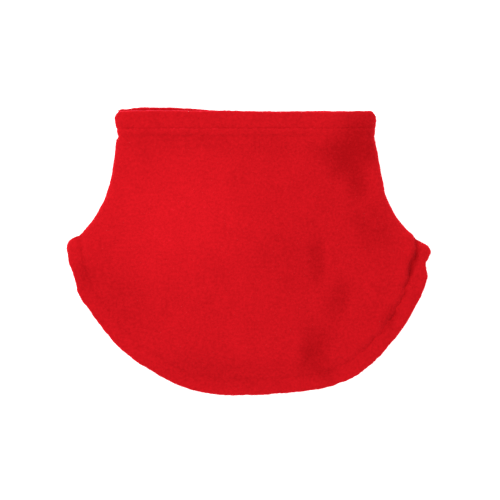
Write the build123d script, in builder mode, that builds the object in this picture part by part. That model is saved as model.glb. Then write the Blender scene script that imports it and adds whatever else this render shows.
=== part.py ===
"""Fleece neck gaiter lying flat, front up: a short neck tube that flares into a rounded bib.

+X runs across the wearer, +Y towards the neck opening and +Z out of the cloth. The origin is the
middle of the bounding box at its underside, where the back of the gaiter rests.
"""

import os

from build123d import *

os.makedirs("parts", exist_ok=True)

# ---------------------------------------------------------------- driving dimensions (millimetres)
cloth = 2.8  # one layer of fleece
band = 2 * cloth  # a band is the fleece folded double
height = 17.2  # the whole gaiter, lying flat
middle = height / 2  # plane in which the front and the back are sewn together
flank = 24.0  # width over which a layer turns down to its side seam

neck_seam = 122.0  # height on the gaiter of the seam under the neck bands
front_top = 141.2  # folded top edge of the front neck band
back_top = 144.0  # the back neck band stands a little higher
neck_left = -133.6
neck_right = 127.0
neck_corner = 9.0  # radius of the bands' upper corners

hem_depth = 16.5  # depth of the folded band round the bottom edge
allowance = 8.0  # seam allowance turned inside the gaiter
side_allowance = 2.4  # thickness of the side allowances, pressed flat
thread = 0.8  # thickness of a row of stitching
stitch_row = 1.4  # width of the topstitched row

# Left and right side seams: place along the gaiter, then the two sides across it.
sides = [
    (150.0, -133.6, 127.0),
    (131.0, -133.6, 127.0),
    (neck_seam, -131.8, 125.8),
    (110.0, -132.8, 126.6),
    (90.0, -134.8, 129.4),
    (70.0, -138.4, 133.4),
    (50.0, -145.0, 138.2),
    (30.0, -157.0, 150.5),
    (18.0, -168.0, 162.0),
    (11.0, -177.5, 172.5),
    (2.0, -181.8, 181.8),
    (-40.0, -181.8, 181.8),
    (-150.0, -181.8, 181.8),
]

# Bottom edge, from the left wing tip round the bib to the right wing tip.
bottom_points = [
    (-168.5, 16.5),
    (-177.0, 13.0),
    (-181.8, 3.0),
    (-181.0, -11.0),
    (-175.5, -22.5),
    (-172.0, -38.0),
    (-158.5, -60.5),
    (-129.5, -96.5),
    (-96.0, -120.5),
    (-58.0, -138.5),
    (-8.0, -144.0),
    (40.0, -141.5),
    (88.0, -133.0),
    (113.0, -120.5),
    (138.0, -96.5),
    (157.0, -72.0),
    (170.0, -48.0),
    (177.5, -27.0),
    (177.5, -12.5),
    (181.8, -2.0),
    (176.5, 8.0),
    (167.5, 12.5),
]
left_notch = (-167.0, 17.5)  # where the hem bands' join line meets each side seam
right_notch = (166.0, 14.0)
side_lap = 1.0  # how far the side allowances start inside the side seam
outside = 200.0  # beyond the gaiter on every side
above_wings = 34.0  # level at which the zones' outlines leave the gaiter's sides
first_station = 0.07  # the join line's first and last points, as a share of the bottom edge
stations = 12

# ---------------------------------------------------------------------------- shapes in plan
with BuildLine() as bottom_edge:
    Spline(*bottom_points)


def inside_bottom(distance):
    """Points a set distance inside the bottom edge, from wing tip to wing tip."""
    edge = bottom_edge.edge()
    step = (1 - 2 * first_station) / (stations - 1)
    places = [first_station + step * n for n in range(stations)]
    return [edge @ u + (edge % u).rotate(Axis.Z, 90) * distance for u in places]


def close_around(start, end, level):
    """Joins the ends of a line across the gaiter, well outside it, past a level above or below."""
    right_side = [(outside, above_wings), (outside, level)]
    left_side = [(-outside, level), (-outside, above_wings)]
    Polyline(end, *right_side, *left_side, start)


def below(distance):
    """Everything beyond a line that runs a set distance inside the bottom edge."""
    shift = distance - hem_depth
    first = (left_notch[0] + shift, left_notch[1])
    last = (right_notch[0] - shift, right_notch[1])
    with BuildSketch() as region:
        with BuildLine():
            Spline(first, *inside_bottom(distance), last)
            close_around(first, last, -outside)
        make_face()
    return region.sketch


with BuildSketch() as bib:
    with BuildLine():
        Spline(*bottom_points)
        close_around(bottom_points[0], bottom_points[-1], outside)
    make_face()

hem_zone = below(hem_depth)
hem_allowance_zone = below(hem_depth + allowance)
hem_thread_zone = below(hem_depth + allowance + thread)


def across(low, high):
    """A strip right across the gaiter, between two heights on it."""
    with BuildSketch() as strip:
        with Locations((0, (low + high) / 2)):
            Rectangle(2 * outside, high - low)
    return strip.sketch


def neck_zone(top):
    """Outline of a neck band whose fold lies at the given height."""
    with BuildSketch() as zone:
        with Locations(((neck_left + neck_right) / 2, (neck_seam + top) / 2)):
            Rectangle(neck_right - neck_left + 1, top - neck_seam)
        fillet(zone.vertices().group_by(Axis.Y)[-1], neck_corner)
    return zone.sketch


# ------------------------------------------------------------------------- the flattened tube
def half_tube(inset):
    """Upper half of the flattened tube, set in from its outer surface by the given amount."""
    with BuildPart() as half:
        for place, left, right in sides:
            reach = (right - left) / 2
            with BuildSketch(Plane.XZ.offset(-place)):
                with Locations(((left + right) / 2, middle)):
                    Rectangle(2 * (reach - flank), 2 * (middle - inset))
                    with Locations((flank - reach, 0), (reach - flank, 0)):
                        Ellipse(flank - inset, middle - inset)
                    with Locations((0, -middle)):
                        Rectangle(3 * reach, 2 * middle, mode=Mode.SUBTRACT)
        loft(ruled=True)
    return half.part


surface = half_tube(0)
under_stitches = half_tube(thread)
under_cloth = half_tube(cloth)
under_band = half_tube(band)


def layer(outer, inner, zone):
    """The part of the cloth between two surfaces of the tube that lies over a zone."""
    with BuildPart() as piece:
        with BuildSketch():
            add(zone)
        extrude(amount=2 * height)
        add(outer, mode=Mode.INTERSECT)
        add(inner, mode=Mode.SUBTRACT)
    return piece.part


def turned_over(piece):
    """The same piece on the back of the gaiter."""
    return mirror(piece, about=Plane.XY.offset(middle))


def side_strip(start, width):
    """A strip along each side seam, from a distance inside it, clear of both bands' allowances."""
    seam = [row for row in sides if 0 < row[0] < neck_seam - allowance]
    with BuildSketch() as strip:
        for side, inward in ((1, 1), (2, -1)):
            near = [(row[side] + inward * start, row[0]) for row in seam]
            far = [(row[side] + inward * (start + width), row[0]) for row in reversed(seam)]
            with BuildLine():
                Polyline(*near, *far, close=True)
            make_face()
        add(hem_thread_zone, mode=Mode.SUBTRACT)
    return strip.sketch


side_ledges = side_strip(side_lap, allowance)
side_overlock = side_strip(side_lap + allowance, thread)
neck_allowance_zone = across(neck_seam - allowance, neck_seam)
neck_thread_zone = across(neck_seam - allowance - thread, neck_seam - allowance)
topstitch_zone = across(neck_seam - allowance, neck_seam - allowance + stitch_row)

topstitch = layer(surface, under_stitches, topstitch_zone)

# ------------------------------------------------------------------------------- the panels
with BuildPart() as front_panel:
    with BuildSketch():
        add(across(-outside, neck_seam))
        add(hem_zone, mode=Mode.SUBTRACT)
    extrude(amount=2 * height)
    add(surface, mode=Mode.INTERSECT)
    add(under_cloth, mode=Mode.SUBTRACT)
    with BuildSketch(Plane.XY.offset(middle)):
        add(side_ledges)
    extrude(amount=side_allowance)
    add(topstitch, mode=Mode.SUBTRACT)

with BuildPart() as back_panel:
    add(turned_over(front_panel.part))


# -------------------------------------------------------------------------------- the bands
def neck_band(top):
    """A folded band above the neck seam, with its allowance turned down inside the panel."""
    with BuildPart() as piece:
        add(layer(surface, under_band, neck_zone(top)))
        add(layer(under_cloth, under_band, neck_allowance_zone))
    return piece.part


with BuildPart() as front_neck_band:
    add(neck_band(front_top))

with BuildPart() as back_neck_band:
    add(turned_over(neck_band(back_top)))

with BuildSketch() as hem_band_zone:
    add(hem_zone)
    add(bib.sketch, mode=Mode.INTERSECT)

with BuildSketch() as hem_tongue_zone:
    add(hem_allowance_zone)
    add(hem_zone, mode=Mode.SUBTRACT)

with BuildPart() as front_hem_band:
    add(layer(surface, under_band, hem_band_zone.sketch))
    add(layer(under_cloth, under_band, hem_tongue_zone.sketch))

with BuildPart() as back_hem_band:
    add(turned_over(front_hem_band.part))

# ---------------------------------------------------------------------------- the stitching
with BuildPart() as front_neck_seam_thread:
    add(layer(under_cloth, under_band, neck_thread_zone))

with BuildPart() as back_neck_seam_thread:
    add(turned_over(front_neck_seam_thread.part))

with BuildPart() as front_neck_topstitch_thread:
    add(topstitch)

with BuildPart() as back_neck_topstitch_thread:
    add(turned_over(topstitch))

with BuildSketch() as hem_overlock_zone:
    add(hem_thread_zone)
    add(hem_allowance_zone, mode=Mode.SUBTRACT)

with BuildPart() as front_hem_seam_thread:
    add(layer(under_cloth, under_band, hem_overlock_zone.sketch))

with BuildPart() as back_hem_seam_thread:
    add(turned_over(front_hem_seam_thread.part))

with BuildPart() as side_threads:
    with BuildSketch(Plane.XY.offset(middle - side_allowance)):
        add(side_overlock)
    extrude(amount=2 * side_allowance)

left_thread, right_thread = side_threads.solids().sort_by(Axis.X)

with BuildPart() as left_side_seam_thread:
    add(left_thread)

with BuildPart() as right_side_seam_thread:
    add(right_thread)

# -------------------------------------------------------------------------------- the nodes
nodes = {
    "front_panel": front_panel,
    "back_panel": back_panel,
    "front_neck_band": front_neck_band,
    "back_neck_band": back_neck_band,
    "front_hem_band": front_hem_band,
    "back_hem_band": back_hem_band,
    "front_neck_seam_thread": front_neck_seam_thread,
    "back_neck_seam_thread": back_neck_seam_thread,
    "front_neck_topstitch_thread": front_neck_topstitch_thread,
    "back_neck_topstitch_thread": back_neck_topstitch_thread,
    "front_hem_seam_thread": front_hem_seam_thread,
    "back_hem_seam_thread": back_hem_seam_thread,
    "left_side_seam_thread": left_side_seam_thread,
    "right_side_seam_thread": right_side_seam_thread,
}
for name, piece in nodes.items():
    piece.part.label = name
    export_step(piece.part, f"parts/{name}.step")
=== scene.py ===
import math

import bpy
import numpy as np
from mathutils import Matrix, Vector, noise
from mathutils.geometry import delaunay_2d_cdt
from mathutils.kdtree import KDTree


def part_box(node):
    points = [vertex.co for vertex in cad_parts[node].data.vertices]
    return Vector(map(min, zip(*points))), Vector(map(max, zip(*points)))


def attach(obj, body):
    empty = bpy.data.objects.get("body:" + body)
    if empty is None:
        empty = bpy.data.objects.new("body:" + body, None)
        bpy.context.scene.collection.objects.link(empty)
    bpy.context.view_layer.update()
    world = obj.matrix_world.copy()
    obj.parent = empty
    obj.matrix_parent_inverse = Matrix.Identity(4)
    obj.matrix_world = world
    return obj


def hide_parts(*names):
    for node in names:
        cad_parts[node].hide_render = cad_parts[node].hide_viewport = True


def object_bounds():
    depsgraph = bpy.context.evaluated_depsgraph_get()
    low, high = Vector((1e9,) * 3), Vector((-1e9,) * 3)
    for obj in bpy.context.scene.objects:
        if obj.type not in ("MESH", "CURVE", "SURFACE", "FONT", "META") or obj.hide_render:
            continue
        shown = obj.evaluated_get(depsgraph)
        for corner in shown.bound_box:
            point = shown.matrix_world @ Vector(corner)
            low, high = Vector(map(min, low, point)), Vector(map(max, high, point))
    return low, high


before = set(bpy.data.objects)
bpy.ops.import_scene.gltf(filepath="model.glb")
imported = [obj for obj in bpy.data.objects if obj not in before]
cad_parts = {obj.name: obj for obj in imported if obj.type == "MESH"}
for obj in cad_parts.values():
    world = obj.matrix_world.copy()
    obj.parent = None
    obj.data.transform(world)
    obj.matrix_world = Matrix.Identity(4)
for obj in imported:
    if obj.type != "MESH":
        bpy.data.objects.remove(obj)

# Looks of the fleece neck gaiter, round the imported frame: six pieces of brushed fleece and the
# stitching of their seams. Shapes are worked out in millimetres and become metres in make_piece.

cad_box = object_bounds()
MM = 0.001

# ------------------------------------------------------------------ sizes, in millimetres
LEFT, RIGHT = 180, 0  # headings of the gaiter's two sides, in degrees from +X
CLOTH = 2.8  # one layer of fleece
BAND = 2 * CLOTH  # a band is folded double
ALLOWANCE = 8.0  # seam allowance turned inside
HEIGHT = cad_box[1][2] / MM
MIDDLE = HEIGHT / 2  # plane of the side seams
FLANK = 26.0  # width over which the cloth turns down to a side seam
FULLNESS = 2.5  # roundness of that turn: 2 is an ellipse, more is squarer
TUCK = 1.7  # how far the side seam is pulled in
TUCK_RISE = 1.0  # height above the seam over which that pull fades
SEAM_GAP = 0.02  # half the gap between the front and the back where a side seam holds them together
GRID = 1.32  # spacing of the front's points
BACK_GRID = 1.8  # the back is plainer
SIDE_STEP = 0.5  # spacing of the points along a side seam
BAND_WIDTH = 17.0  # the hem band's cross-section is drawn this wide, then fitted


def bump(distance, width):
    """A rounded hump, 1 at no distance."""
    return np.exp(-(distance / width) ** 2)


def smooth(value, low, high):
    """A soft step from 0 to 1."""
    t = np.clip((value - low) / (high - low), 0, 1)
    return t * t * (3 - 2 * t)


def nearest(points, line):
    """Each point's distance to the nearest point of a line in plan, and that point's number."""
    tree = KDTree(len(line))
    for number, (x, y) in enumerate(line):
        tree.insert((x, y, 0), number)
    tree.balance()
    found = [tree.find((x, y, 0)) for x, y in points]
    return np.array([f[2] for f in found]), np.array([f[1] for f in found])


# ------------------------------------------------------------------ outlines from the frame
def node_plan(name):
    """A CAD node's points in plan, in millimetres, and its edges."""
    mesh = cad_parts[name].data
    points = np.empty(3 * len(mesh.vertices))
    mesh.vertices.foreach_get("co", points)
    edges = np.empty(2 * len(mesh.edges), dtype=int)
    mesh.edges.foreach_get("vertices", edges)
    return points.reshape(-1, 3)[:, :2] / MM, edges.reshape(-1, 2)


plans = {name: node_plan(name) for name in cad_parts}


def reach(node, start, heading):
    """The farthest point of a node from a start, in plan, along a heading in degrees."""
    points, edges = plans[node]
    along = np.array([math.cos(math.radians(heading)), math.sin(math.radians(heading))])
    across = np.array([-along[1], along[0]])
    offset = points - np.array(start)
    forward, aside = offset @ along, offset @ across
    a, b = edges[:, 0], edges[:, 1]
    crossing = (aside[a] * aside[b] < 0)
    a, b = a[crossing], b[crossing]
    share = aside[a] / (aside[a] - aside[b])
    far = (forward[a] + share * (forward[b] - forward[a])).max()
    return np.array(start) + far * along


def resample(points, spacing):
    """A smooth curve through points, at an even spacing (Catmull-Rom)."""
    points = np.array(points, dtype=float)
    ends = np.vstack([2 * points[0] - points[1], points, 2 * points[-1] - points[-2]])
    fine = []
    for i in range(1, len(ends) - 2):
        t = np.linspace(0, 1, 40, endpoint=False)[:, None]
        p0, p1, p2, p3 = ends[i - 1:i + 3]
        fine.append(0.5 * (2 * p1 + (p2 - p0) * t + (2 * p0 - 5 * p1 + 4 * p2 - p3) * t ** 2
                           + (3 * p1 - p0 - 3 * p2 + p3) * t ** 3))
    fine = np.vstack(fine + [points[-1:]])
    run = np.concatenate([[0], np.cumsum(np.linalg.norm(np.diff(fine, axis=0), axis=1))])
    steps = np.linspace(0, run[-1], max(3, round(run[-1] / spacing) + 1))
    return np.column_stack([np.interp(steps, run, values) for values in fine.T])


def normals(path):
    """Unit normals to the left of a path in plan."""
    tangent = np.gradient(path, axis=0)
    tangent /= np.linalg.norm(tangent, axis=1)[:, None]
    return np.column_stack([-tangent[:, 1], tangent[:, 0]])


NECK_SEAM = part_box("front_panel")[1][1] / MM  # level of the seam under the neck bands
HUB = (0.0, 12.0)  # middle of the bib, from which its round edges are measured at these headings
bottom_headings = [186, 188.5, 191, 194, 199, 205, 213, 222, 233, 245, 257, 270, 283, 295, 304, 312, 321,
                   331, 338, 343.5, 347.5, 350, 352, 353.8]
hem_headings = [184, 191, 200, 210, 221, 232, 244, 257, 270, 283, 296, 308, 319, 330, 340, 349, 356]

# Levels on the side seams with how far the left and the right seam stand out there: the sewn neck
# seam draws the sides in a little, and the band above it swells.
side_levels = [(140, 0.1, 0.0), (133, 0.7, 0.0), (126, 0.6, 0.4), (118, -0.9, -0.4), (114, -1.8, -1.0),
               (110, 0.0, -0.4), (98, 0.2, 0.2), (84, 0.2, 0.4), (70, 0.2, 0.4), (56, 0, 0), (43, 0, 0),
               (31, 0, 0)]


def side_points(heading):
    """The side seam from the neck's fold down to the notch above the wing tip."""
    side = 1 if heading == RIGHT else -1
    points = []
    for level, left, right in side_levels:
        node = "front_panel" if level < NECK_SEAM else "back_neck_band"
        standing = right if heading == RIGHT else left
        points.append(reach(node, (0, level), heading) + np.array([side * standing, 0]))
    return points


# The hem band's end stands out as a knob. Its outline runs from the notch above it to the wing tip,
# here as steps from the tip.
tip = {
    LEFT: reach("front_hem_band", (0, -3.0), LEFT),
    RIGHT: reach("front_hem_band", (0, -2.0), RIGHT) + np.array([0.6, -1.9]),
}
knob_steps = {
    LEFT: [(12.6, 19.0), (6.6, 16.9), (2.8, 14.5), (0.6, 11.0), (-0.1, 6.7), (0, 0)],
    RIGHT: [(-15.7, 16.0), (-9.4, 12.9), (-4.3, 9.7), (-1.4, 6.4), (-0.1, 2.6), (0, 0)],
}
knob = {h: resample([tip[h] + step for step in np.array(knob_steps[h])], SIDE_STEP) for h in (LEFT, RIGHT)}
notch = {h: knob[h][0] for h in (LEFT, RIGHT)}


def side_line(heading):
    """The whole side seam, carried on past the neck's fold and, a little outwards, past the tip."""
    side = 1 if heading == RIGHT else -1
    points = side_points(heading)
    above = points[0] + np.array([0, 8.0])
    below = tip[heading] + np.array([side * 1.4, -6.0])
    return resample([above] + points + list(knob[heading][::4]) + [tip[heading], below], SIDE_STEP)


side_path = {h: side_line(h) for h in (LEFT, RIGHT)}
inward = {LEFT: normals(side_path[LEFT]), RIGHT: -normals(side_path[RIGHT])}

# The bottom edge, from the left wing tip to the right one. It is set in a little, because the nap
# stands out past it. It has faint waves, and swells and then draws in before the knob on the right.
EDGE_INSET = 0.5
bottom_points = [reach("front_hem_band", HUB, h) for h in bottom_headings]
bottom_path = resample([tip[LEFT]] + bottom_points + [tip[RIGHT]], GRID)
bottom_run = np.arange(len(bottom_path)) * GRID
ripple = 0.2 * np.sin(bottom_run / 2.9) * np.sin(bottom_run / 17) + 0.15 * np.sin(bottom_run / 5.1)
to_tip = bottom_run[-1] - bottom_run
waist = 1.0 * bump(to_tip - 10.5, 3) - 0.7 * bump(to_tip - 23, 7)
bottom_path = bottom_path + normals(bottom_path) * (EDGE_INSET - ripple + waist)[:, None]

# The join of the hem band and the panel, from notch to notch. Its stitches scallop it on the right,
# and it bows outwards just before the right notch.
join_points = [reach("front_panel", HUB, h) for h in hem_headings]
join_path = resample([notch[LEFT]] + join_points + [notch[RIGHT]], GRID)
join_share = np.linspace(0, 1, len(join_path))
join_run = np.arange(len(join_path)) * GRID
scallop = 0.75 * np.sin(join_run / 3.3) + 0.45 * np.sin(join_run / 1.9 + 2)
scallop = scallop * smooth(join_share, 0.62, 0.74) * (1 - smooth(join_share, 0.95, 1))
bow = 3.2 * bump(join_run[-1] - join_run - 12, 7)
join_path = join_path + normals(join_path) * (scallop - bow)[:, None]


def square_out(direction, heading):
    """The unit vector across a direction that points away from the gaiter at its left or right end."""
    return np.array([direction[1], -direction[0]]) * (1 if heading == LEFT else -1)


def hem_corner(heading):
    """The cloth's corner where a panel, the hem band's end and the side seam come together."""
    direction = (tip[heading] - notch[heading]) / np.linalg.norm(tip[heading] - notch[heading])
    return notch[heading] + square_out(direction, heading) * SPARE


# ------------------------------------------------------------------ how the cloth lies
# Soft folds and dimples in the front: middle, length, width on either side, heading and height.
folds = [
    (-8, -12, 105, 100, 100, 35, 6.5),
    (112, 92, 52, 26, 26, 88, -3.2),
    (72, -6, 30, 16, 7, 96, -1.9),
    (92, -50, 26, 14, 9, 78, -1.6),
    (66, -104, 34, 16, 8, 84, -1.8),
    (128, -36, 55, 24, 24, 78, 1.8),
    (44, -62, 26, 14, 14, 100, 0.9),
    (-126, -62, 50, 26, 26, 130, -1.4),
    (-50, -128, 46, 16, 16, 165, -3.4),
    (30, -134, 30, 14, 14, 5, -1.2),
    (96, -118, 34, 15, 15, 32, -2.6),
    (-60, 104, 60, 16, 16, 0, -0.9),
]
FOLDS_FROM, FOLDS_FULL = 4, 34  # distances from a side seam between which the folds set in


def swells(x, y, shapes, sharpness=2):
    """The sum of long soft shapes at places in plan."""
    total = np.zeros_like(x)
    for mid_x, mid_y, length, left_width, right_width, heading, rise in shapes:
        turn = math.radians(heading)
        along = (x - mid_x) * math.cos(turn) + (y - mid_y) * math.sin(turn)
        aside = -(x - mid_x) * math.sin(turn) + (y - mid_y) * math.cos(turn)
        width = np.where(aside > 0, left_width, right_width)
        total += rise * np.exp(-np.abs(along / length) ** sharpness - np.abs(aside / width) ** sharpness)
    return total


def drape(x, y):
    """How far the front of the gaiter stands above or below its flat height."""
    return swells(x, y, folds)


def roll_profile():
    """The turn from the flat cloth down to a side seam: distance in and height, by length of cloth."""
    angle = np.linspace(0, math.pi / 2, 400)
    inwards = FLANK * (1 - np.cos(angle) ** (2 / FULLNESS))
    rise = MIDDLE * np.sin(angle) ** (2 / FULLNESS)
    inwards = inwards + TUCK * np.exp(-rise / TUCK_RISE)
    inwards = inwards - inwards.min()
    length = np.concatenate([[0], np.cumsum(np.hypot(np.diff(inwards), np.diff(rise)))])
    return length, inwards, rise


roll_length, roll_in, roll_rise = roll_profile()
SPARE = roll_length[-1] - FLANK  # cloth beyond the seam's line, taken up by the turn


def lay(flat, depth, back=False):
    """Puts points of the flat cloth, at depths below its outer surface, where they lie in space.

    A point's distance inside the nearer side seam says how far round the turn it is. One that is
    nearest to a seam's lower end counts as beyond the seam only if it lies mostly outwards from it.
    """
    best = np.full(len(flat), 1e9)
    foot = np.zeros_like(flat)
    sign = np.ones(len(flat))
    for heading, path in side_path.items():
        distance, number = nearest(flat, path)
        inner = ((flat - path[number]) * inward[heading][number]).sum(axis=1)
        square_to_path = (number < len(path) - 1) | (inner < -0.7 * distance)
        beyond = (inner < 0) & square_to_path
        closer = distance < best
        best = np.where(closer, distance, best)
        foot = np.where(closer[:, None], path[number], foot)
        sign = np.where(closer, np.where(beyond, -1.0, 1.0), sign)
    inside = best * sign
    safe = np.where(np.abs(inside) < 1e-4, 1e-4, inside)
    heading_in = (flat - foot) / safe[:, None]
    run = np.clip(inside + SPARE, 0, None)
    near = inside < FLANK
    across = np.where(near, np.interp(run, roll_length, roll_in), inside)
    rise = np.where(near, np.interp(run, roll_length, roll_rise), MIDDLE)
    step = 0.05  # along the cloth, to find its slope
    slope_across = np.where(near, np.interp(run + step, roll_length, roll_in) - across, step)
    slope_rise = np.where(near, np.interp(run + step, roll_length, roll_rise) - rise, 0)
    size = np.maximum(np.hypot(slope_across, slope_rise), 1e-6)
    across = across + depth * slope_rise / size
    rise = np.maximum(rise - depth * slope_across / size, SEAM_GAP)
    plan = foot + heading_in * across[:, None]
    if back:
        return np.column_stack([plan, MIDDLE - rise])
    fade = smooth(inside, FOLDS_FROM, FOLDS_FULL) * np.clip(rise / MIDDLE, 0, 1)
    return np.column_stack([plan, MIDDLE + rise + drape(plan[:, 0], plan[:, 1]) * fade])


# ------------------------------------------------------------------ meshes
SHARP = math.radians(62)  # faces that meet at more than this are the cut edges of the cloth


def make_piece(name, points, faces, material):
    """A Blender object from points in millimetres, smooth except at its cut edges."""
    mesh = bpy.data.meshes.new(name)
    mesh.from_pydata((points * MM).tolist(), [], faces)
    mesh.validate()
    mesh.materials.append(material)
    piece = bpy.data.objects.new(name, mesh)
    bpy.context.scene.collection.objects.link(piece)
    bpy.context.view_layer.objects.active = piece
    piece.select_set(True)
    bpy.ops.object.mode_set(mode="EDIT")
    bpy.ops.mesh.select_all(action="SELECT")
    bpy.ops.mesh.normals_make_consistent(inside=False)
    bpy.ops.object.mode_set(mode="OBJECT")
    piece.select_set(False)
    mesh.shade_smooth()
    mesh.set_sharp_from_angle(angle=SHARP)
    return piece


# Patches where the pile has been brushed another way. They also carry painted shade of the folds and of
# the slopes turned from the light, and painted light on the lit left middle: places as for the folds, then
# how much lighter each is, or darker below 0.
brushed_and_painted_light_patches = [
    (112, 128, 20, 12, 12, 0, -0.7),
    (102, 99, 28, 21, 21, 30, -1.4),
    (108, 66, 16, 11, 11, 90, -0.8),
    (122, 22, 24, 18, 18, 110, -0.6),
    (69, -8, 21, 10, 6, 92, -0.8),
    (90, -49, 22, 12, 9, 75, -0.7),
    (62, -98, 24, 12, 17, 80, -1.0),
    (76, -122, 10, 9, 9, 0, -0.5),
    (163, -11, 15, 4.5, 4.5, 72, -1.1),
    (140, -66, 12, 7, 7, 60, -0.7),
    (31, -4, 30, 26, 26, 90, -0.3),
    (110, -20, 130, 75, 75, 90, -0.22),
    (-129, -44, 42, 22, 22, 130, -0.35),
    (-24, -120, 62, 16, 16, 175, -0.45),
    (-74, 36, 62, 54, 54, 25, 0.6),
    (-85, 110, 42, 10, 10, 0, -0.2),
    (20, 108, 70, 14, 14, 0, -0.25),
    (-165, -22, 14, 6, 6, 110, -0.6),
]
PATCH_TONE = 0.33  # how far a patch of strength 1 moves the fleece between its dark and light tones
EDGE_HIGHLIGHT = 0.45  # painted highlight: how much lighter the fleece is painted where the cloth turns steeply away at its edges
CREASE_SHADE = 0.38  # painted shade: how much darker the fleece is painted in the crease where a seam presses the pile
DRIFT_SHARE = 0.2  # how much the tone drifts between the patches, as a share of a patch's
NAP = 0.42  # how far the pile's tufts stand in and out at the edges
NAP_LOST = 0.75  # share of that which is lost where the cloth lies flat
CLUMP_SHARE = 0.9  # how far clumps of tufts stand out, as a share of single ones
TUFT_SIZE, CLUMP_SIZE, DRIFT_SIZE = 2.7, 6.5, 15  # of the noises that shape them


def raise_nap(piece, pressed_and_shaded, seed):
    """Pushes the surface in and out a little, in the tufts of a brushed pile, and notes the fleece's tone:
    patches of brushed pile with painted shade and painted light, a painted highlight where the cloth turns
    away, and painted shade where a seam has pressed it. The nap is still where it is pressed, and where a
    side seam holds the cloth."""
    mesh = piece.data
    count = len(mesh.vertices)
    points = np.empty(3 * count)
    outwards = np.empty(3 * count)
    mesh.vertices.foreach_get("co", points)
    mesh.vertices.foreach_get("normal", outwards)
    points, outwards = points.reshape(-1, 3), outwards.reshape(-1, 3)
    shift = np.array([seed * 7.3, seed * 3.1, 0.0])  # each piece has its own part of the noise
    tufts = np.array([noise.noise(Vector(p)) for p in points / (TUFT_SIZE * MM) + shift])
    clumps = np.array([noise.noise(Vector(p)) for p in points / (CLUMP_SIZE * MM) - shift])
    edge = 1 - NAP_LOST * np.abs(outwards[:, 2])
    free = 1 - np.clip(3 * pressed_and_shaded, 0, 1)
    held = 1 - smooth(np.abs(points[:, 2] / MM - MIDDLE), 0.2, 1.6)  # close to the side seams' level
    points += outwards * ((tufts + CLUMP_SHARE * clumps) * edge * free * (1 - held) * NAP * MM)[:, None]
    points[:, 2] = np.maximum(points[:, 2], 0)
    mesh.vertices.foreach_set("co", points.ravel())
    mesh.update()
    tone_and_painted_light = mesh.attributes.new("pile_tone_and_painted_light", "FLOAT", "POINT")
    drifts = np.array([noise.noise(Vector(p)) for p in points / (DRIFT_SIZE * MM) + shift])
    # patches of brushed pile, with painted shade of the folds and painted light on the lit middle
    patches = swells(points[:, 0] / MM, points[:, 1] / MM, brushed_and_painted_light_patches, 3)
    # painted highlight where the cloth's surface turns steep, at its edges
    painted_rim_highlight = smooth(1 - np.abs(outwards[:, 2]), 0.04, 0.45) * free
    tone = PATCH_TONE * (patches * (1 - painted_rim_highlight) + DRIFT_SHARE * drifts) + EDGE_HIGHLIGHT * painted_rim_highlight
    # painted shade in the crease beside the hem's seam
    tone -= CREASE_SHADE * pressed_and_shaded ** 2
    tone_and_painted_light.data.foreach_set("value", tone)


# ------------------------------------------------------------------ the panels
SEAM_DITCH = 0.55  # depth of the valley over the neck seam
DITCH_WIDTH = 1.3  # how far that valley reaches on either side
VALLEY_ROWS = (0.5, 1.1, 1.9, 2.9)  # extra rows of points beside a seam, which shape its valley
ROWS_END = 3.6  # the grid takes over at this distance from the seam
ROW_RATIO = 0.866  # the rows of a triangular grid are this share of its spacing apart
JITTER = 0.12  # how far a point of the grid may be moved, as a share of its spacing
# How far into each cloth the hem seam's valley reaches, and the pile pressed, and painted darker with
# shade, beside it.
PANEL_VALLEY, PANEL_PRESSED_AND_SHADED = 2.1, 2.4
BAND_VALLEY, BAND_PRESSED_AND_SHADED = 2.2, 3.6
PUFF = 0.9  # how far the panel swells beside the hem's seam on the right
LIFT = 0.5  # how far the neck seam's allowance lifts the panel over it
FAINTER = 0.6  # how much of the topstitching's relief is lost on the right
THREAD = 0.45  # thickness of the sewing thread
STITCH = 3.0  # length of a stitch
STITCH_GAP = 0.9  # gap between one stitch and the next
STITCH_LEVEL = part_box("front_neck_topstitch_thread")[0][1] / MM + 0.4  # just inside its CAD node
STITCH_SINK = 0.5  # depth to which the topstitching draws the cloth in


def join_depth(share):
    """Depth of the valley over the hem's seam, by share of its length from left to right: crisp on
    the right, faint elsewhere, with small puckers, and none where it meets the side seams."""
    right = 0.5 * smooth(share, 0.66, 0.80) + 1.1 * smooth(share, 0.87, 0.95)
    knob_crease = 0.5 * (1 - smooth(share, 0.05, 0.12))
    puckers = 0.3 * np.sin(share * 190) + 0.2 * np.sin(share * 331 + 2)
    from_end = np.minimum(share, 1 - share) * join_run[-1]
    return (0.3 + knob_crease + right + puckers * (0.4 + 0.6 * right)) * smooth(from_end, 0.5, 7)


def crease_share(share):
    """How firmly the hem's seam presses the pile beside it, and how dark the painted shade in its crease
    is, from 0 to 1, by share of its length.
    """
    return 0.4 + 0.45 * smooth(share, 0.86, 0.93)


def skin(rows, across, start=0):
    """Faces of a closed body made of rows of points, each once round a cross-section."""
    faces = [tuple(range(start, start + across)),
             tuple(range(start + (rows - 1) * across, start + rows * across))]
    for i in range(rows - 1):
        low, high = start + i * across, start + (i + 1) * across
        for j in range(across):
            k = (j + 1) % across
            faces.append((low + j, low + k, high + k, high + j))
    return faces


def side_run(heading):
    """The part of a side seam between the bands' allowances: its points and inward normals."""
    node = "left_side_seam_thread" if heading == LEFT else "right_side_seam_thread"
    low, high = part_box(node)[0][1] / MM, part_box(node)[1][1] / MM
    path = side_path[heading]
    keep = (path[:, 1] > low) & (path[:, 1] < high)
    return path[keep][::3], inward[heading][keep][::3]


# Cross-section of a side allowance: distance inside the seam, and height off the middle plane.
LEDGE = [(1.5, 0.1), (9.5, 0.1), (9.5, 2.3), (1.5, 2.3)]


def side_ledge(heading, back):
    """A panel's side seam allowance, pressed flat inside the seam."""
    path, inwards = side_run(heading)
    facing = -1 if back else 1
    corners = []
    for distance, rise in LEDGE:
        level = np.full((len(path), 1), MIDDLE + facing * rise)
        corners.append(np.hstack([path + inwards * distance, level]))
    return np.stack(corners, axis=1).reshape(-1, 3)


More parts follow.
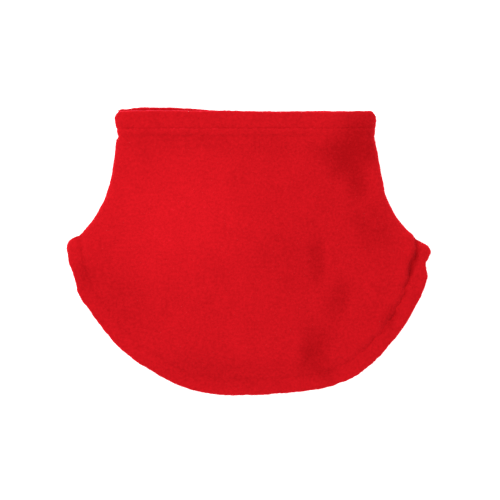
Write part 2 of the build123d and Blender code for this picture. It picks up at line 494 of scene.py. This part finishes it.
def fill_outline(outline, lines, clear, grid, seed):
    """Triangulates the flat cloth inside an outline. Lines of points are kept, and the rest is a grid
    that keeps clear of some lines by a distance each."""
    low, high = outline.min(axis=0), outline.max(axis=0)
    xs = np.arange(low[0], high[0], grid)
    ys = np.arange(low[1], high[1], grid * ROW_RATIO)
    grid_x, grid_y = np.meshgrid(xs, ys)
    grid_x = grid_x + (np.arange(len(ys)) % 2)[:, None] * grid / 2
    field = np.column_stack([grid_x.ravel(), grid_y.ravel()])
    field = field + np.random.default_rng(seed).uniform(-JITTER, JITTER, field.shape) * grid
    for line, gap in clear:
        field = field[nearest(field, line)[0] > gap]
    flat = np.vstack([outline] + lines + [field])
    ring = [list(range(len(outline)))]
    inside_only, tolerance = 1, 1e-5
    points = [Vector(p) for p in flat]
    coords, _, triangles, *_ = delaunay_2d_cdt(points, [], ring, inside_only, tolerance)
    flat, triangles = np.array([tuple(p) for p in coords]), np.array(triangles)
    used = np.unique(triangles)
    order = np.full(len(flat), -1)
    order[used] = np.arange(len(used))
    return flat[used], order[triangles]


def build_panel(name, back, grid, seed):
    """A bib-shaped panel between the side seams, the neck seam and the hem's join line."""
    edges = {}
    for heading, path in side_path.items():
        keep = (path[:, 1] < NECK_SEAM) & (path[:, 1] > notch[heading][1] + 1)
        edge = (path - inward[heading] * SPARE)[keep][::2]
        edges[heading] = np.vstack([edge, hem_corner(heading), notch[heading]])
    left_edge, right_edge = edges[LEFT], edges[RIGHT]
    top_left = np.array([left_edge[0][0], NECK_SEAM])
    top_right = np.array([right_edge[0][0], NECK_SEAM])
    top_x = np.arange(top_right[0] - grid, top_left[0] + grid / 2, -grid)
    top = np.column_stack([top_x, np.full(len(top_x), NECK_SEAM)])
    join = join_path[1:-1] if grid == GRID else join_path[1:-1:2]  # the coarser back skips some
    outline = np.vstack([top_left[None], left_edge[1:], join, right_edge[:0:-1], top_right[None], top])
    lines = []
    for distance in VALLEY_ROWS:
        lines.append((join_path + normals(join_path) * distance)[4:-4])
        lines.append(top - np.array([0, distance]))
    clear = [(join_path, ROWS_END), (top, ROWS_END), (left_edge, 0.6 * grid), (right_edge, 0.6 * grid)]
    flat, triangles = fill_outline(outline, lines, clear, grid, seed)

    below_neck = NECK_SEAM - flat[:, 1]
    from_join, number = nearest(flat, join_path)
    share = number / len(join_path)
    ditch = SEAM_DITCH * bump(below_neck, DITCH_WIDTH)
    valleys = ditch + join_depth(share) * bump(from_join, PANEL_VALLEY)
    puff = PUFF * smooth(share, 0.66, 0.78) * bump(from_join - 6, 5) * (not back)
    row_fade = 1 - FAINTER * smooth(flat[:, 0], 50, 90)
    raised = LIFT * smooth(below_neck, 0.6, 2.2) * (1 - smooth(below_neck, 6.2, 8.2)) * row_fade
    stitched = STITCH_SINK * bump(flat[:, 1] - STITCH_LEVEL, 1.1) * row_fade
    depth = valleys - puff - raised + stitched
    outer = lay(flat, depth, back)
    inner = lay(flat, CLOTH + depth, back)
    count = len(flat)
    sides = np.vstack([triangles[:, [0, 1]], triangles[:, [1, 2]], triangles[:, [2, 0]]])
    _, first, times = np.unique(np.sort(sides, axis=1), axis=0, return_index=True, return_counts=True)
    rim = sides[first[times == 1]]
    faces = triangles.tolist()
    faces += (triangles[:, ::-1] + count).tolist()
    faces += np.column_stack([rim[:, 1], rim[:, 0], rim[:, 0] + count, rim[:, 1] + count]).tolist()
    points = [outer, inner]
    total = 2 * count
    for heading in (LEFT, RIGHT):
        ledge = side_ledge(heading, back)
        faces += skin(len(ledge) // len(LEDGE), len(LEDGE), total)
        points.append(ledge)
        total += len(ledge)
    piece = make_piece(name, np.vstack(points), faces, fleece)
    pressed_and_shaded = np.zeros(total)
    pressed_and_shaded[:count] = crease_share(share) * bump(from_join, PANEL_PRESSED_AND_SHADED)
    raise_nap(piece, pressed_and_shaded, seed)
    return piece


# ------------------------------------------------------------------ the folded bands
def band_section(width):
    """Cross-section of a folded band: distance from its seam and depth, once round the cloth.

    It runs from the outer layer's raw edge up to the fold, back along the under layer to that one's
    raw edge, and then along the slit between the layers and back. Its points are closer together in
    the valley beside the seam.
    """
    top = [0.0, 0.4, 0.9, 1.5, 2.2] + list(np.linspace(3.2, width - CLOTH, 12)[:-1])
    fold = [(width - CLOTH + CLOTH * math.sin(a), CLOTH - CLOTH * math.cos(a))
            for a in np.linspace(0.0, math.pi, 11)]
    under = [(w, BAND) for w in np.arange(width - CLOTH - 2.5, -ALLOWANCE, -2.5)]
    slit = [(-1.0, 4.2), (2.0, 3.1), (width - 3.6, 2.85), (2.0, 3.0), (-1.0, 4.1)]
    outside = [(-ALLOWANCE, 3.0), (-4.0, 3.0), (-1.2, 2.9)] + [(w, 0.0) for w in top] + fold
    inside = under + [(-ALLOWANCE, BAND), (-ALLOWANCE, 4.3)] + slit + [(-ALLOWANCE, 4.2)]
    return np.array(outside + inside)


def sweep(name, rows, back, seed):
    """Closes rows of cross-sections, one after another along the band, into a piece. A row has its
    flat places, their depths and how firmly each is pressed by a seam."""
    flat, depth, pressed_and_shaded = (np.concatenate(parts) for parts in zip(*rows))
    piece = make_piece(name, lay(flat, depth, back), skin(len(rows), len(rows[0][0])), fleece)
    raise_nap(piece, pressed_and_shaded, seed)
    return piece


def side_of_neck(level, heading):
    """Where a side seam lies across the gaiter, at levels along the neck."""
    path = side_path[heading][::-1]
    return np.interp(level, path[:, 1], path[:, 0])


NECK_CORNER = 3.8  # radius of the bands' upper corners
NECK_ROWS = 241  # cross-sections along a neck band


def build_neck_band(name, node, back, seed):
    """A folded neck band across the gaiter, its fold along the top edge. The front one's edge is
    nearly level. The back one's stands clear of it on the left, and drops towards it on the right and
    at both ends."""
    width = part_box(node)[1][1] / MM - NECK_SEAM
    from_seam, depth = band_section(width).T
    level = NECK_SEAM + from_seam
    left = side_of_neck(level, LEFT) - SPARE
    right = side_of_neck(level, RIGHT) + SPARE
    rows = []
    for along in np.linspace(0, 1, NECK_ROWS):
        x = left + (right - left) * along
        from_end = np.minimum(x - left, right - x) - SPARE
        rounding = np.clip(1 - from_end / NECK_CORNER, 0, 1)
        drop = NECK_CORNER * (1 - np.sqrt(1 - rounding ** 2))
        if back:
            drop = drop - 0.8 + 4.0 * smooth(x, -84, -16) + 0.2 * np.sin(x / 17)
            drop = drop + 2.4 * (1 - smooth(from_end, 2, 32))
        else:
            drop = drop + 0.9 + 1.1 * bump(x - 50, 65) + 0.2 * np.sin(x / 11)
        valley = SEAM_DITCH * bump(from_seam, DITCH_WIDTH) * (depth < CLOTH)
        flat = np.column_stack([x, level - drop * np.clip(from_seam / width, 0, 1)])
        rows.append((flat, depth + valley, np.zeros(len(from_seam))))
    return sweep(name, rows, back, seed)


KNOB_REACH = 12  # how far along the hem the knob's outline fades
END_ROWS = np.linspace(1.25, 0.25, 5)  # rows past the band's ends, as shares of SPARE


def build_hem_band(name, back, seed):
    """The folded band round the bib's bottom edge, from wing tip to wing tip. Its ends start a little
    past the side seam's line."""
    count = len(bottom_path)
    share_along = np.linspace(0, 1, count)
    join = np.column_stack([np.interp(share_along, join_share, values) for values in join_path.T])
    section = band_section(BAND_WIDTH)
    share_across = np.clip(section[:, 0] / BAND_WIDTH, 0, 1)
    ends = END_ROWS * SPARE
    places = [(0, beyond) for beyond in ends] + [(i, 0.0) for i in range(count)]
    places += [(count - 1, beyond) for beyond in ends[::-1]]
    rows = []
    for i, beyond in places:
        heading, side = (LEFT, -1) if i < count / 2 else (RIGHT, 1)
        start, edge = join[i], bottom_path[i]
        width = np.linalg.norm(edge - start)
        direction = (edge - start) / width
        end_outline = knob[heading]
        chord = end_outline[0] + (end_outline[-1] - end_outline[0]) * share_across[:, None]
        steps = np.linspace(0, 1, len(end_outline))
        swell = np.column_stack([np.interp(share_across, steps, v) for v in end_outline.T]) - chord
        from_end = min(i, count - 1 - i) * GRID
        from_seam = section[:, 0] * np.where(section[:, 0] > 0, width / BAND_WIDTH, 1.0)
        flat = start + direction * from_seam[:, None] + swell * math.exp(-(from_end / KNOB_REACH) ** 2)
        across_end = square_out(direction, heading)
        lean = across_end + (np.array([side, 0]) - across_end) * share_across[:, None]
        flat = flat + lean / np.linalg.norm(lean, axis=1)[:, None] * beyond
        outer = section[:, 1] < CLOTH
        in_valley = bump(from_seam, BAND_VALLEY) * outer
        pressed_and_shaded = crease_share(share_along[i]) * bump(from_seam, BAND_PRESSED_AND_SHADED) * outer
        rows.append((flat, section[:, 1] + join_depth(share_along[i]) * in_valley, pressed_and_shaded))
    return sweep(name, rows, back, seed)


# ------------------------------------------------------------------ the stitching
ROW_MARGIN = 1.5  # the topstitching stops this far from the side seams
LOOP_STEP = 1.5  # along the seam, from one side of the overlock's zigzag to the other
LOOP_IN, LOOP_OUT = 3.0, 0.3  # how far the overlock reaches in from the raw edge and out past it
SIDE_LOOP_IN, SIDE_LOOP_OUT = 3.2, 0.35  # the same at a side seam
LOOP_RISE = 0.2  # how far it stands off the cloth
THREAD_STEP = 0.7  # spacing of the points along the overlock's thread


def tube(line, sides=5):
    """Points and faces of a closed thread along a line of points in space."""
    along = np.gradient(line, axis=0)
    along /= np.linalg.norm(along, axis=1)[:, None]
    aside = np.cross(along, [0.0, 0.1, 1.0])  # a direction in which no thread runs
    aside /= np.linalg.norm(aside, axis=1)[:, None]
    upwards = np.cross(aside, along)
    turn = np.linspace(0, 2 * math.pi, sides, endpoint=False)
    ring = np.cos(turn)[:, None] * aside[:, None] + np.sin(turn)[:, None] * upwards[:, None]
    return (line[:, None] + THREAD / 2 * ring).reshape(-1, 3), skin(len(line), sides)


def build_topstitching(name, back):
    """The row of stitches that holds the neck seam's allowance down. Each is sunk into the pile, and
    dives into the cloth at its ends."""
    points, faces, total = [], [], 0
    left, right = [side_of_neck(STITCH_LEVEL, h) for h in (LEFT, RIGHT)]
    for start in np.arange(left + ROW_MARGIN, right - STITCH - ROW_MARGIN, STITCH + STITCH_GAP):
        bend = np.linspace(-1, 1, 7)
        x = start + STITCH * (bend + 1) / 2
        depth = STITCH_SINK - 0.1 + 0.8 * bend ** 4
        line = lay(np.column_stack([x, np.full(len(x), STITCH_LEVEL)]), depth, back)
        ring_points, ring_faces = tube(line)
        faces += [tuple(n + total for n in face) for face in ring_faces]
        points.append(ring_points)
        total += len(ring_points)
    return make_piece(name, np.vstack(points), faces, thread)


def build_overlock(name, corners):
    """Looped stitching through corner points that lie by turns over and under a raw edge."""
    points, faces = tube(resample(corners, THREAD_STEP))
    return make_piece(name, points, faces, thread)


def allowance_overlock(name, seam, inwards, back):
    """Overlock over the raw edges of an allowance that runs beside a seam line inside the gaiter."""
    odd = np.arange(len(seam)) % 2
    distance = ALLOWANCE + np.where(odd, LOOP_OUT, -LOOP_IN)
    depth = np.where(odd, 0.75 * BAND, BAND + LOOP_RISE)
    return build_overlock(name, lay(seam + inwards * distance[:, None], depth, back))


def side_overlock(name, heading):
    """Overlock over the raw edges of both panels' allowances at a side seam."""
    path, inwards = side_run(heading)
    turn = np.arange(len(path)) % 4
    edge = LEDGE[1][0]
    distance = np.where(turn % 2, edge + SIDE_LOOP_OUT, edge - SIDE_LOOP_IN)
    level = MIDDLE + np.choose(turn, [LEDGE[2][1] + LOOP_RISE, 0, -LEDGE[2][1] - LOOP_RISE, 0])
    return build_overlock(name, np.column_stack([path + inwards * distance[:, None], level]))


# ------------------------------------------------------------------ materials
def new_material(name):
    """A material with its nodes, its links and its shader."""
    material = bpy.data.materials.new(name)
    material.use_nodes = True
    nodes, links = material.node_tree.nodes, material.node_tree.links
    return material, nodes, links, nodes["Principled BSDF"]


def noise_node(nodes, links, coordinates, scale, detail):
    """Adds a noise texture, and gives its output."""
    texture = nodes.new("ShaderNodeTexNoise")
    texture.inputs["Scale"].default_value = scale
    texture.inputs["Detail"].default_value = detail
    links.new(coordinates, texture.inputs["Vector"])
    return texture.outputs["Fac"]


def ramp(nodes, links, value, low, high, painted_rim_highlight=None):
    """Adds a colour ramp from low to high, and then to a painted highlight's colour if there is one."""
    node = nodes.new("ShaderNodeValToRGB")
    stops = node.color_ramp.elements
    stops[0].color = (*low, 1)
    stops[1].color = (*high, 1)
    if painted_rim_highlight:
        stops[1].position = RIM_HIGHLIGHT_FROM
        stops.new(1.0).color = (*painted_rim_highlight, 1)
    links.new(value, node.inputs["Fac"])
    return node.outputs["Color"]


TUFT_TONE = 0.85  # how strongly single tufts differ in tone
TUFT_SCALE, FIBRE_SCALE = 420, 1500  # of the noises, per metre
TWIST_SCALE = 900  # of the thread's twist, per metre
FLEECE_DARK = (0.245, 0.0014, 0.0030)
FLEECE_LIGHT = (0.425, 0.0043, 0.0080)
FLEECE_RIM_HIGHLIGHT = (0.50, 0.0100, 0.0300)  # painted highlight on the cloth's steep edges
RIM_HIGHLIGHT_FROM = 0.85  # tone at which the fleece is fully light and starts to turn to its painted highlight colour
THREAD_DARK = (0.20, 0.0012, 0.0025)
THREAD_LIGHT = (0.36, 0.0030, 0.0060)


def make_fleece():
    """Brushed fleece. Its tone is the tufts' noise added to a tone that the pieces carry as an attribute,
    which holds painted shade and painted light, and its relief is the tufts and the finer fibres."""
    material, nodes, links, shader = new_material("fleece")
    place = nodes.new("ShaderNodeTexCoord").outputs["Object"]
    tufts = noise_node(nodes, links, place, TUFT_SCALE, 3)
    calmed = nodes.new("ShaderNodeMath")
    calmed.operation = "MULTIPLY_ADD"
    calmed.inputs[1].default_value = TUFT_TONE
    calmed.inputs[2].default_value = (1 - TUFT_TONE) / 2
    links.new(tufts, calmed.inputs[0])
    fibres = noise_node(nodes, links, place, FIBRE_SCALE, 2)
    mixed = nodes.new("ShaderNodeMath")
    mixed.operation = "ADD"
    halved = nodes.new("ShaderNodeMath")
    halved.operation = "MULTIPLY"
    halved.inputs[1].default_value = 0.5
    links.new(fibres, halved.inputs[0])
    links.new(tufts, mixed.inputs[0])
    links.new(halved.outputs[0], mixed.inputs[1])
    tone_and_light_attribute = nodes.new("ShaderNodeAttribute")
    tone_and_light_attribute.attribute_name = "pile_tone_and_painted_light"
    toned = nodes.new("ShaderNodeMath")
    toned.operation = "ADD"
    links.new(tone_and_light_attribute.outputs["Fac"], toned.inputs[0])
    links.new(calmed.outputs[0], toned.inputs[1])
    colour = ramp(nodes, links, toned.outputs[0], FLEECE_DARK, FLEECE_LIGHT, FLEECE_RIM_HIGHLIGHT)
    links.new(colour, shader.inputs["Base Color"])
    bumps = nodes.new("ShaderNodeBump")
    bumps.inputs["Strength"].default_value = 0.8
    bumps.inputs["Distance"].default_value = 0.0008
    links.new(mixed.outputs[0], bumps.inputs["Height"])
    links.new(bumps.outputs["Normal"], shader.inputs["Normal"])
    shader.inputs["Roughness"].default_value = 0.95
    shader.inputs["Specular IOR Level"].default_value = 0.03
    shader.inputs["Sheen Weight"].default_value = 1.0
    shader.inputs["Sheen Roughness"].default_value = 0.35
    shader.inputs["Sheen Tint"].default_value = (1.0, 0.06, 0.10, 1)
    return material


def make_thread():
    """Matt sewing thread with a fine twist."""
    material, nodes, links, shader = new_material("thread")
    place = nodes.new("ShaderNodeTexCoord").outputs["Object"]
    twist = nodes.new("ShaderNodeTexWave")
    twist.bands_direction = "DIAGONAL"
    twist.inputs["Scale"].default_value = TWIST_SCALE
    twist.inputs["Distortion"].default_value = 2.0
    links.new(place, twist.inputs["Vector"])
    colour = ramp(nodes, links, twist.outputs["Fac"], THREAD_DARK, THREAD_LIGHT)
    links.new(colour, shader.inputs["Base Color"])
    bumps = nodes.new("ShaderNodeBump")
    bumps.inputs["Strength"].default_value = 0.5
    bumps.inputs["Distance"].default_value = 0.0001
    links.new(twist.outputs["Fac"], bumps.inputs["Height"])
    links.new(bumps.outputs["Normal"], shader.inputs["Normal"])
    shader.inputs["Roughness"].default_value = 0.75
    shader.inputs["Specular IOR Level"].default_value = 0.08
    return material


fleece = make_fleece()
thread = make_thread()

# ------------------------------------------------------------------ putting it together
cloth_pieces = {
    "front_panel": build_panel("front_panel_cloth", False, GRID, 1),
    "back_panel": build_panel("back_panel_cloth", True, BACK_GRID, 2),
    "front_neck_band": build_neck_band("front_neck_band_cloth", "front_neck_band", False, 3),
    "back_neck_band": build_neck_band("back_neck_band_cloth", "back_neck_band", True, 4),
    "front_hem_band": build_hem_band("front_hem_band_cloth", False, 5),
    "back_hem_band": build_hem_band("back_hem_band_cloth", True, 6),
}
for node, piece in cloth_pieces.items():
    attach(piece, "root")
    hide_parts(node)

OVERLOCK_MARGIN = 3  # the neck's overlock stops this far from the side seams
HEM_MARGIN = 14  # the hem's stops this many points of the join before each notch
neck_left, neck_right = [side_of_neck(NECK_SEAM - ALLOWANCE, h) for h in (LEFT, RIGHT)]
neck_x = np.arange(neck_left + OVERLOCK_MARGIN, neck_right - OVERLOCK_MARGIN, LOOP_STEP)
neck_line = np.column_stack([neck_x, np.full(len(neck_x), NECK_SEAM)])
hem_line = resample(join_path[HEM_MARGIN:-HEM_MARGIN], LOOP_STEP)
down = np.array([0.0, -1.0])
thread_pieces = {}
for face, back in (("front", False), ("back", True)):
    node = f"{face}_neck_topstitch_thread"
    thread_pieces[node] = build_topstitching(node + "_stitches", back)
    node = f"{face}_neck_seam_thread"
    thread_pieces[node] = allowance_overlock(node + "_stitches", neck_line, down, back)
    node = f"{face}_hem_seam_thread"
    thread_pieces[node] = allowance_overlock(node + "_stitches", hem_line, normals(hem_line), back)
for side, heading in (("left", LEFT), ("right", RIGHT)):
    node = f"{side}_side_seam_thread"
    thread_pieces[node] = side_overlock(node + "_stitches", heading)
for node, piece in thread_pieces.items():
    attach(piece, "root")
    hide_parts(node)

# ------------------------------------------------------------------ floor, light and camera, in metres
FLOOR_REACH = 4
FLOOR_LEVEL = -0.0003  # just clear of the gaiter's underside
square = [(-1, -1), (1, -1), (1, 1), (-1, 1)]
floor_corners = [(FLOOR_REACH * x, FLOOR_REACH * y, FLOOR_LEVEL) for x, y in square]
floor_mesh = bpy.data.meshes.new("floor")
floor_mesh.from_pydata(floor_corners, [], [(0, 1, 2, 3)])
floor = bpy.data.objects.new("floor", floor_mesh)
bpy.context.scene.collection.objects.link(floor)
floor_material, _, _, floor_shader = new_material("floor")
floor_shader.inputs["Base Color"].default_value = (0.93, 0.93, 0.93, 1)
floor_shader.inputs["Roughness"].default_value = 0.9
floor_shader.inputs["Specular IOR Level"].default_value = 0.0
floor_shader.inputs["Emission Color"].default_value = (1, 1, 1, 1)
floor_shader.inputs["Emission Strength"].default_value = 0.35
floor_mesh.materials.append(floor_material)

world = bpy.data.worlds.new("studio")
world.use_nodes = True
world.node_tree.nodes["Background"].inputs["Color"].default_value = (1, 1, 1, 1)
world.node_tree.nodes["Background"].inputs["Strength"].default_value = 1.45
bpy.context.scene.world = world


def soft_light(name, place, size, power):
    """A square area light at a place, turned towards the gaiter."""
    light = bpy.data.lights.new(name, "AREA")
    light.shape = "SQUARE"
    light.size = size
    light.energy = power
    lamp = bpy.data.objects.new(name, light)
    lamp.location = place
    lamp.rotation_euler = (-Vector(place)).to_track_quat("-Z", "Y").to_euler()
    bpy.context.scene.collection.objects.link(lamp)


soft_light("key", (-1.5, 1.3, 1.8), 1.2, 42)
soft_light("fill", (1.6, -0.4, 1.4), 1.6, 5)

VIEW_WIDTH = 0.5  # of what the camera sees, at the gaiter's middle height
VIEW_CENTRE = (0.001, 0.0013)
camera_data = bpy.data.cameras.new("camera")
camera_data.lens = 100
camera_data.sensor_width = 36
camera = bpy.data.objects.new("camera", camera_data)
camera_distance = VIEW_WIDTH / 2 / math.tan(camera_data.angle / 2)
camera.location = (*VIEW_CENTRE, camera_distance + MIDDLE * MM)
bpy.context.scene.collection.objects.link(camera)
bpy.context.scene.camera = camera
bpy.context.scene.view_settings.view_transform = "Standard"
